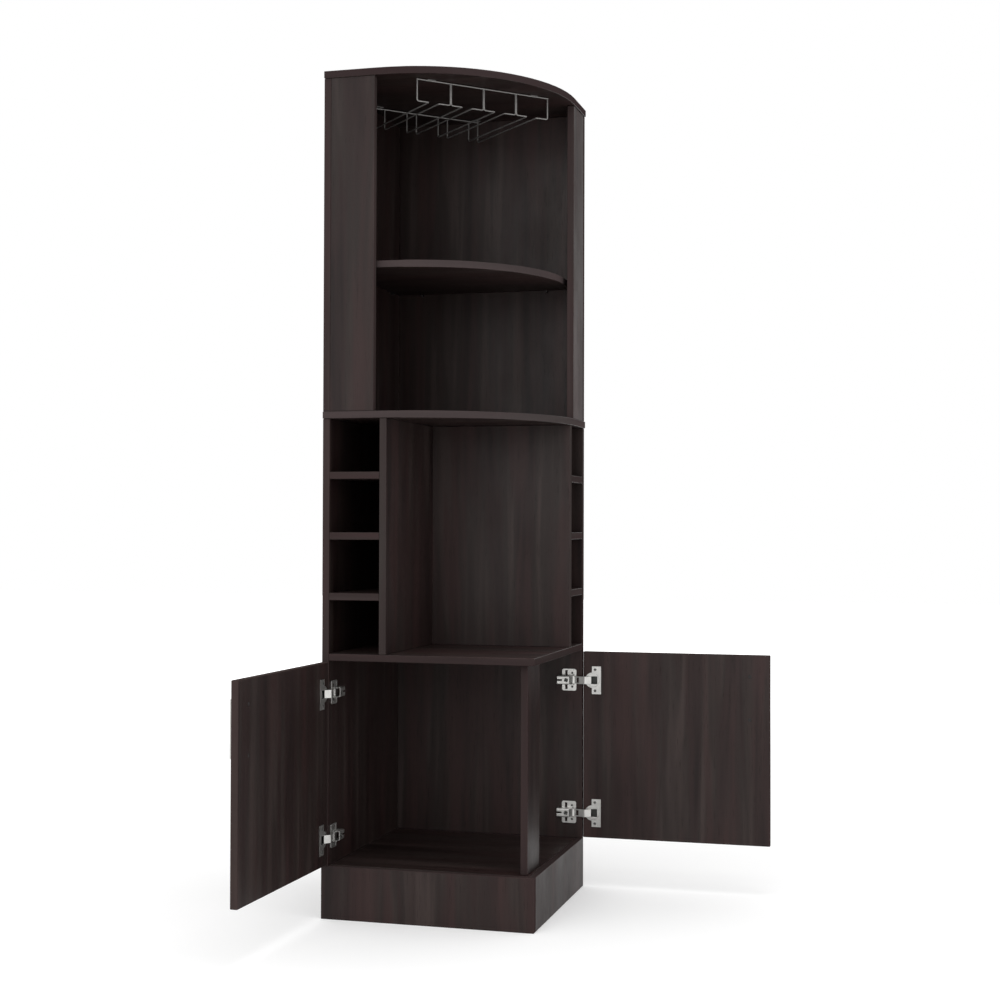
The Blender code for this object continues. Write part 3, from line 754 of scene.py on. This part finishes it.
@dataclass
class Hinge:
    """One concealed hinge: its mounting plate, arm, pin, link, cup and screws.

    The plate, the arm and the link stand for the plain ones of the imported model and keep
    their places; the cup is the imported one.
    """

    side: Side
    level: str
    corner_radius: float = 4.6 * MM
    plate_thinner: float = 0.3 * MM
    slot_from_rear: float = 7.4 * MM
    slot_width: float = 5.4 * MM
    slot_low: float = 10.5 * MM
    slot_high: float = 21.5 * MM
    plate_screw_from_front: float = 9.6 * MM
    plate_screw_height: float = 15.7 * MM
    arm_sheet: float = 1.2 * MM
    arm_bend: float = 2.0 * MM
    arm_mouth: float = 9.0 * MM
    tail_slot_half: float = 1.9 * MM
    tail_slot_length: float = 11.5 * MM
    cross_from_rear: float = 21.2 * MM
    pin_radius: float = 1.2 * MM
    pin_head: float = 2.0 * MM
    pin_head_height: float = 1.1 * MM
    pin_ease: float = 0.25 * MM
    link_sheet: float = 1.5 * MM
    link_eye: float = 2.3 * MM
    link_blend: float = 4.0 * MM
    link_run: float = 29.8 * MM
    link_tip: float = 15.9 * MM
    link_bend: float = math.radians(-53)
    link_bend_radius: float = 3.0 * MM
    link_step: float = 0.6 * MM
    link_wrap: float = math.radians(250)
    link_closed: float = math.radians(15.2)
    link_ratio: float = 1.04
    window_start: float = 5.0 * MM
    window_end: float = 14.5 * MM
    window_half: float = 5.9 * MM
    cup_radius: float = 17.2 * MM
    cup_shade_span: tuple[float, float] = (0.4 * MM, 2.2 * MM)
    cup_screw_height: float = 24.0 * MM
    cup_screw_from_middle: float = 6.0 * MM
    face_radius: float = 15.8 * MM
    face_sheet: float = 0.9 * MM
    face_sink: float = 0.7 * MM
    face_window_half: float = 8.75 * MM
    face_window_far: float = 11.0 * MM
    face_points: tuple[int, int, int] = (25, 17, 5)
    pin_steps: int = 20
    step: float = 1.0 * MM
    plate_head: CrossScrew = CrossScrew(2.7 * MM, 0.7 * MM, 0.75 * MM, 0.75 * MM, 2.0 * MM)
    arm_head: CrossScrew = CrossScrew(4.7 * MM, 1.3 * MM, 1.1 * MM, 1.2 * MM, 4.0 * MM)
    cup_head: CrossScrew = CrossScrew(3.3 * MM, 0.9 * MM, 0.85 * MM, 0.8 * MM, 2.4 * MM)

    def named(self, part: str) -> str:
        """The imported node's name for a part of this hinge."""
        return f"{self.side.value}_{self.level}_hinge_{part}"

    def piece(self, part: str, body: str, polish: Polish = Polish.NICKEL) -> Piece:
        """A new piece of this hinge, with its metal."""
        name = f"{self.side.value}_{self.level}_{part}"
        return Piece(name, body, Metal(name, polish), Slot.NICKEL)

    def make_plate(self) -> None:
        """The mounting plate: a flat sheet with round corners and two upright slots.

        A point in a corner square is drawn onto a quarter disc: a' = a sqrt(1 - b^2 / 2).
        """
        low, high, middle, half = self.side.span(self.named("plate"))
        corner = self.corner_radius
        wide, tall = half[1], half[2]
        end = wide - self.slot_from_rear
        start = end - self.slot_width
        depths = lines(-wide, corner - wide, start, end, wide - corner, wide, step=self.step)
        levels = (tall, self.slot_high, tall - corner, self.slot_low)
        heights = lines(*levels, *(-level for level in levels), step=self.step)
        depth, height = np.meshgrid(depths, heights, indexing="ij")
        a = np.clip(abs(depth) - (wide - corner), 0, None) / corner
        b = np.clip(abs(height) - (tall - corner), 0, None) / corner
        flat = np.minimum(abs(depth), wide - corner)
        upright = np.minimum(abs(height), tall - corner)
        across = np.sign(depth) * (flat + corner * a * np.sqrt(1 - b * b / 2))
        upward = np.sign(height) * (upright + corner * b * np.sqrt(1 - a * a / 2))
        places = np.stack((np.zeros_like(depth), across, upward), axis=-1) + middle
        at, level = cell_middles(depths, heights)
        tall_enough = (abs(level) > self.slot_low) & (abs(level) < self.slot_high)
        slots = (at > start) & (at < end) & tall_enough
        piece = self.piece("mounting_plate", "cabinet")
        faces = grid_faces(depth.shape, ~slots)
        thickness = float(2 * half[0]) - self.plate_thinner
        piece.sheet(self.side.world(places), faces, thickness)
        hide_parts(self.named("plate"))
        front = low[1] + self.plate_screw_from_front
        spots = [(high[0], front, middle[2] + sign * self.plate_screw_height) for sign in (-1, 1)]
        self.set_screws("plate_screw", "cabinet", spots, self.side.axes[[1, 0]], self.plate_head)

    def make_arm(self) -> None:
        """The arm: a channel bent from sheet, open at its front over the pin and slit at its tail.

        Its section runs up one flange, round a bend, over the web and down the other flange,
        as a function of the distance along the sheet; the section is carried along the depth.
        """
        low, high, middle, half = self.side.span(self.named("arm"))
        length = high[1] - low[1]
        top = high[0] - self.arm_sheet / 2
        bend = self.arm_bend
        flat = half[2] - self.pin_radius - self.arm_sheet / 2 - bend
        turn = bend * math.pi / 2
        drop = top - bend - low[0]
        slit_start = length - self.tail_slot_length
        along = lines(0, self.arm_mouth, slit_start, length, step=self.step)
        stops = (flat + turn + drop, flat + turn, flat, self.tail_slot_half)
        around = lines(*stops, *(-stop for stop in stops), step=self.step)
        depth, way = np.meshgrid(along, around, indexing="ij")
        beyond = np.clip(abs(way) - flat, 0, turn) / bend
        fall = np.clip(abs(way) - flat - turn, 0, None)
        height = np.sign(way) * (np.minimum(abs(way), flat) + bend * np.sin(beyond))
        run = top - bend * (1 - np.cos(beyond)) - fall
        places = np.stack((run, low[1] + depth, middle[2] + height), axis=-1)
        at, round_way = cell_middles(along, around)
        mouth = (at < self.arm_mouth) & (abs(round_way) < flat + turn)
        slit = (at > slit_start) & (abs(round_way) < self.tail_slot_half)
        piece = self.piece("arm", "cabinet")
        faces = grid_faces(depth.shape, ~(mouth | slit))
        piece.sheet(self.side.world(places), faces, self.arm_sheet)
        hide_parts(self.named("arm"))
        spot = (high[0], high[1] - self.cross_from_rear, middle[2])
        self.set_screws("arm_screw", "cabinet", [spot], self.side.axes[[1, 0]], self.arm_head)

    def make_pin(self) -> None:
        """The rivet that the link turns on: a radius that changes along its height."""
        pivot = self.side.joint("link_pivot")
        middle, half = (size[2] for size in self.side.span(self.named("arm"))[2:])
        under = half - self.pin_head_height
        rim = half - self.pin_ease
        heights = np.array((-half, -rim, -under, -under, under, under, rim, half))
        eased = self.pin_head - 2 * self.pin_ease
        upper = (self.pin_radius, self.pin_head, self.pin_head, eased)
        angles = np.linspace(0, 2 * math.pi, self.pin_steps, endpoint=False)
        radius, angle = np.meshgrid(upper[::-1] + upper, angles, indexing="ij")
        height = np.broadcast_to(middle + heights[:, None], radius.shape)
        x, y = pivot[0] + radius * np.cos(angle), pivot[1] + radius * np.sin(angle)
        piece = self.piece("hinge_pin", "cabinet", Polish.ZINC)
        piece.closed(self.side.world(np.stack((x, y, height), axis=-1)))

    def make_link(self) -> None:
        """The link: a strip wrapped round the pin, with a window, a run, a bend and a tip.

        Its line is an arc about the pin, a straight run, an arc for the bend and a straight
        tip, as a function of the distance along it; the line is carried along the height.
        """
        middle, half = (size[2] for size in self.side.span(self.named("link"))[2:])
        eye, bend = self.link_eye, self.link_bend_radius
        wrap = eye * self.link_wrap
        trim = bend * math.tan(abs(self.link_bend) / 2)
        run = self.link_run - trim
        curve = bend * abs(self.link_bend)
        end = run + curve + self.link_tip - trim
        stops = (-wrap, 0, self.window_start, self.window_end, run, run + curve, end)
        along = lines(*stops, step=self.link_step)
        around = lines(-half, -self.window_half, self.window_half, half, step=self.step)
        way, height = np.meshgrid(along, around, indexing="ij")
        angle = np.clip(way, -wrap, 0) / eye
        turn = np.clip(way - run, 0, curve) / bend
        last = np.clip(way - run - curve, 0, None)
        x = eye * np.sin(angle) + np.clip(way, 0, run)
        x = x + bend * np.sin(turn) + last * math.cos(self.link_bend)
        y = eye * np.cos(angle) - eye * smooth_step(way, 0, self.link_blend)
        y = y - bend * (1 - np.cos(turn)) + last * math.sin(self.link_bend)
        pivot = self.side.joint("link_pivot")
        places = np.stack((pivot[0] + x, pivot[1] + y, middle + height), axis=-1)
        swing = self.link_closed - self.link_ratio * self.side.open_angle
        at, level = cell_middles(along, around)
        inside = abs(level) < self.window_half
        window = (at > self.window_start) & (at < self.window_end) & inside
        piece = self.piece("link", f"{self.side.value}_hinge_links")
        faces = grid_faces(way.shape, ~window)
        points = self.side.world(turned(places, pivot, swing))
        piece.sheet(points, faces, self.link_sheet)
        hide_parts(self.named("link"))

    def dress_cup(self) -> None:
        """The cup: nickel, darkened inside by painted shade, held by two screws through its wing.
        """
        door, name = self.side.joint("door_hinge"), self.named("cup")
        low, high, middle, _ = self.side.span(name, door, self.side.open_angle)
        centre = np.array((low[0] + self.cup_radius, high[1], middle[2]))
        mouth = self.side.world(turned(centre, door, -self.side.open_angle))
        out = self.direction((0, 1, 0))
        dress(name, Metal(name, Polish.NICKEL, ShadeWell(mouth, -out, *self.cup_shade_span)))
        self.make_cup_face(centre, door)
        aside = (self.cup_screw_from_middle, 0, self.cup_screw_height)
        spots = [centre + np.array(aside) * (1, 1, sign) for sign in (-1, 1)]
        spots = turned(np.array(spots), door, -self.side.open_angle)
        up = np.array((0, 0, 1.0))
        self.set_screws("cup_screw", f"{self.side.value}_door", spots, (up, out), self.cup_head)

    def make_cup_face(self, centre: Array, door: Array) -> None:
        """The face inside the cup's rim, with a square window that lets the link in.

        Two lobes lie above and below the window, from its edge up to the rim's circle, and a
        third beside it: one parameter runs along the window, the other out to the circle.

        Args:
            centre: The middle of the cup's mouth with the door closed.
            door: A place on the door's axis.
        """
        radius, half, far = self.face_radius, self.face_window_half, self.face_window_far
        edge = math.sqrt(radius ** 2 - half ** 2)
        wide, tall, deep = self.face_points
        out = np.linspace(0, 1, deep)
        along, share = np.meshgrid(np.linspace(-edge, edge, wide), out, indexing="ij")
        up = half + share * (np.sqrt(radius ** 2 - along ** 2) - half)
        rise, aside = np.meshgrid(np.linspace(-half, half, tall), out, indexing="ij")
        run = far + aside * (np.sqrt(radius ** 2 - rise ** 2) - far)
        places, faces, count = [], [], 0
        for right, height in ((along, up), (along, -up), (run, rise)):
            level = np.full(right.size, -self.face_sink)
            places.append(np.stack((right.ravel(), level, height.ravel()), axis=-1))
            faces.append(grid_faces(right.shape) + count)
            count += right.size
        points = turned(np.concatenate(places) + centre, door, -self.side.open_angle)
        piece = self.piece("cup_face", f"{self.side.value}_door")
        piece.sheet(self.side.world(points), np.concatenate(faces), self.face_sheet)

    def direction(self, way: Triple) -> Array:
        """The world direction of a way that is fixed to the door, from its closed place."""
        return turned(np.array(way, float), np.zeros(3), -self.side.open_angle) @ self.side.axes

    def set_screws(
        self, part: str, body: str, spots: Iterable, ways: Iterable[Array], head: CrossScrew
    ) -> None:
        """Sets screw heads.

        Args:
            part: What the screws are.
            body: The CAD body that they ride on.
            spots: Run, depth and height of each.
            ways: The world directions of a head's x, and the one that it faces.
            head: The head's shape.
        """
        for count, spot in enumerate(self.side.world(np.array(spots)), 1):
            name = f"{self.side.value}_{self.level}_{part}_{count}"
            head.place(name, body, Slot.NICKEL, spot, *ways)

    def build(self) -> None:
        """Makes every part of the hinge."""
        self.make_plate()
        self.make_arm()
        self.make_pin()
        self.make_link()
        self.dress_cup()


def dress(node: str, finish: Laminate | Metal) -> None:
    """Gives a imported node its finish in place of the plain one.

    Args:
        node: The node.
        finish: Its finish.
    """
    mesh = FRAME["nodes"][node].data
    mesh.materials.clear()
    mesh.materials.append(finish.build())
    LOG.info("%s: %s", node, mesh.materials[0].name)


@dataclass
class Carcass:
    """The boards of the cabinet and its doors, each cut from its own place in the laminate."""

    upright: tuple[str, ...] = (
        "left_lower_panel", "rear_lower_panel", "left_upper_panel", "rear_upper_panel",
        "left_divider", "right_divider", "left_front_strip", "right_front_strip", "corner_post",
        "front_plinth_board", "right_plinth_board", "left_plinth_board", "rear_plinth_board",
    )
    level: tuple[str, ...] = (
        "bottom_board", "counter_board",
        *(f"{side}_cubby_shelf_{row}" for side in ("left", "right") for row in (1, 2, 3)),
    )
    curved: tuple[str, ...] = ("mid_board", "top_board", "upper_shelf")
    seeds: tuple[int, ...] = (3, 31, 57, 71, 74)
    # Per-board brightness shares and edge-band tones are painted light and shade, which make one
    # laminate look lit differently on each board; one strip also reflects less.
    painted_light_looks: dict[str, dict[str, object]] = field(default_factory=lambda: {
        "front_plinth_board": {"share": 1.14},
        "right_door": {"share": 1.14},
        "corner_post": {"share": 0.74},
        "right_front_strip": {"share": 1.25, "specular": 0.07},
        "top_board": {"band_tone": (1.7, 1.8, 1.95)},
        **dict.fromkeys(("mid_board", "upper_shelf"), {"band_tone": (3.0, 3.8, 4.0)}),
        **dict.fromkeys(("left_divider", "right_divider"), {"band_tone": (2.2, 2.8, 2.85)}),
    })

    def build(self) -> None:
        """Dresses every board, both doors and the shelf's pins."""
        upright, level, curved, *doors = self.seeds
        for seed, node in enumerate(self.upright, upright):
            self.board(node, Grain.UPRIGHT, seed)
        for seed, node in enumerate(self.level, level):
            self.board(node, Grain.LEVEL, seed)
        for seed, node in enumerate(self.curved, curved):
            self.board(node, Grain.LEVEL, seed, curved=True)
        for side, sign, seed in zip(Side, (-1, 1), doors):
            turn = sign * (side.open_angle - math.pi / 2)
            self.board(f"{side.value}_door", Grain.UPRIGHT, seed, turn=turn)
        for node in FRAME["nodes"]:
            if node.endswith("_shelf_pin"):
                dress(node, Metal(node, Polish.LACQUER))

    def board(self, node: str, grain: Grain, seed: int, **shape: object) -> None:
        """Dresses one board in the laminate, with the painted light and shade that it is given."""
        dress(node, Laminate(node, grain, seed, **shape, **self.painted_light_looks.get(node, {})))


@dataclass
class Handles:
    """The two bar handles and their screws."""

    def build(self) -> None:
        """Dresses both handles and the screws behind them."""
        for side in Side:
            name = f"{side.value}_handle"
            dress(name, Metal(name, Polish.BRUSHED))
            for level in ("lower", "upper"):
                screw = f"{name}_{level}_screw"
                dress(screw, Metal(screw, Polish.LACQUER))


@dataclass
class GlassRack:
    """The chromed wire rack under the top board, with a screw through each of its tabs."""

    tab_width: float = 12 * MM
    tab_sheet: float = 1.5 * MM
    front_tab: float = 126 * MM
    tab_inset: float = 9 * MM
    head: CrossScrew = CrossScrew(3.2 * MM, 1.0 * MM, 0.85 * MM, 0.55 * MM, 2.0 * MM)

    def rail_span(self, node: str) -> tuple[Array, Array]:
        """A rail's lowest and highest place across the rack, out from the corner, and up."""
        x, y, z = node_points(node).T
        return reach(np.stack(((x + y) / math.sqrt(2), (x - y) / math.sqrt(2), z), axis=1))[:2]

    def build(self) -> None:
        """Dresses the wires and sets the tabs' screws."""
        for node in FRAME["nodes"]:
            if node.startswith("rack_"):
                dress(node, Metal(node, Polish.WIRE))
        across, out = np.array(((1, 1, 0), (1, -1, 0))) / math.sqrt(2)
        down = np.array((0, 0, -1.0))
        half = self.tab_width / 2
        front, rear = (self.rail_span(f"rack_{rail}_rail") for rail in ("front", "rear"))
        rows = (
            ("front", self.front_tab, front[0][1] + half, front[1][2]),
            ("rear", rear[1][0] - self.tab_inset, rear[1][1] - half, rear[1][2]),
        )
        for rail, aside, back, top in rows:
            for hand, sign in (("left", -1), ("right", 1)):
                spot = sign * aside * across + back * out - (top - self.tab_sheet) * down
                name = f"rack_{rail}_{hand}_screw"
                self.head.place(name, "cabinet", Slot.CHROME, spot, across, down)


@dataclass(frozen=True)
class Lamp:
    """A square soft light that hangs in the studio and points at the cabinet."""

    name: str
    place: Triple
    aim: Triple
    width: float
    watts: float

    def build(self) -> None:
        """Hangs the lamp."""
        data = bpy.data.lights.new(self.name, "AREA")
        data.shape, data.size, data.energy = "SQUARE", self.width, self.watts
        lamp = show(self.name, data)
        lamp.location = self.place
        way = Vector(self.aim) - Vector(self.place)
        lamp.rotation_euler = way.to_track_quat("-Z", "Y").to_euler()


@dataclass
class Studio:
    """The camera, the pale floor, the white surroundings and the soft lamps."""

    camera_place: Triple = (1.2742, -3.6791, 0.8272)
    yaw: float = 15.413
    pitch: float = 0.846
    roll: float = 0.167
    focal_share: float = 1.638
    sensor: float = 36.0
    sight: float = 100.0
    floor_half: float = 14.0
    floor_color: Color = linear(236, 236, 236)
    floor_roughness: float = 0.9
    floor_glow: Rise = (1.2, 4.5, 0.2, 1.0)
    surround: float = 0.8
    white: Color = (1.0, 1.0, 1.0, 1.0)
    lamps: tuple[Lamp, ...] = (
        Lamp("front_lamp", (0.1, -4.6, 2.4), (0.25, -0.2, 0.8), 2.4, 46.0),
        Lamp("right_lamp", (4.2, -1.6, 2.2), (0.3, -0.2, 0.9), 2.2, 10.0),
        Lamp("top_lamp", (0.4, -0.6, 4.4), (0.3, -0.2, 0.9), 2.4, 60.0),
    )

    def build(self) -> None:
        """Sets up everything round the cabinet."""
        self.make_camera()
        self.make_floor()
        self.make_surround()
        for lamp in self.lamps:
            lamp.build()
        bpy.context.scene.view_settings.view_transform = "Standard"

    def make_camera(self) -> None:
        """The camera at the photograph's own place: turned by yaw, then pitch, then roll."""
        data = bpy.data.cameras.new("camera")
        data.sensor_width = self.sensor
        data.lens = self.sensor * self.focal_share
        data.clip_end = self.sight
        camera = show("camera", data)
        yaw = Matrix.Rotation(math.radians(self.yaw), 4, "Z")
        pitch = Matrix.Rotation(math.radians(90 + self.pitch), 4, "X")
        roll = Matrix.Rotation(math.radians(self.roll), 4, "Z")
        camera.matrix_world = Matrix.Translation(self.camera_place) @ yaw @ pitch @ roll
        bpy.context.scene.camera = camera

    def make_floor(self) -> None:
        """A pale floor that takes the shadow, and glows more for the camera with its distance."""
        half = self.floor_half
        mesh = bpy.data.meshes.new("floor")
        corners = [(-half, -half, 0), (half, -half, 0), (half, half, 0), (-half, half, 0)]
        mesh.from_pydata(corners, [], [(0, 1, 2, 3)])
        nodes = Nodes(bpy.data.materials.new("pale_floor"))
        place = nodes.add("TexCoord").outputs["Object"]
        glow = nodes.rise(nodes.vector("LENGTH", place), *self.floor_glow)
        mesh.materials.append(nodes.finish({
            "Base Color": self.floor_color, "Roughness": self.floor_roughness,
            "Specular IOR Level": 0.0, "Emission Color": self.white,
            "Emission Strength": nodes.sum("MULTIPLY", self.seen(nodes), glow),
        }))
        floor = show("floor", mesh)

    def seen(self, nodes: Nodes) -> Socket:
        """Tells what the camera sees, directly or in metal, from what only lights.

        Args:
            nodes: The tree.

        Returns:
            A number that is 1 for what is seen and else 0.
        """
        path = nodes.add("LightPath").outputs
        shown = nodes.sum("MAXIMUM", path["Is Camera Ray"], path["Is Glossy Ray"])
        return nodes.sum("MAXIMUM", shown, path["Is Transmission Ray"])

    def make_surround(self) -> None:
        """A world that is white to the eye and lights the cabinet at a plain level."""
        world = bpy.data.worlds.new("studio")
        bpy.context.scene.world = world
        nodes = Nodes(world)
        extra = nodes.sum("MULTIPLY", self.seen(nodes), 1.0 - self.surround)
        strength = nodes.sum("ADD", self.surround, extra)
        light = {"Color": self.white, "Strength": strength}
        back = nodes.add("Background", light)
        nodes.add("OutputWorld", {0: back.outputs[0]})


def main() -> None:
    """Builds the studio, then dresses the cabinet part by part."""
    logging.basicConfig(level=logging.INFO, format="%(message)s")
    Studio().build()
    Carcass().build()
    Handles().build()
    GlassRack().build()
    for side in Side:
        for level in ("lower", "upper"):
            Hinge(side, level).build()


if __name__ == "__main__":
    main()
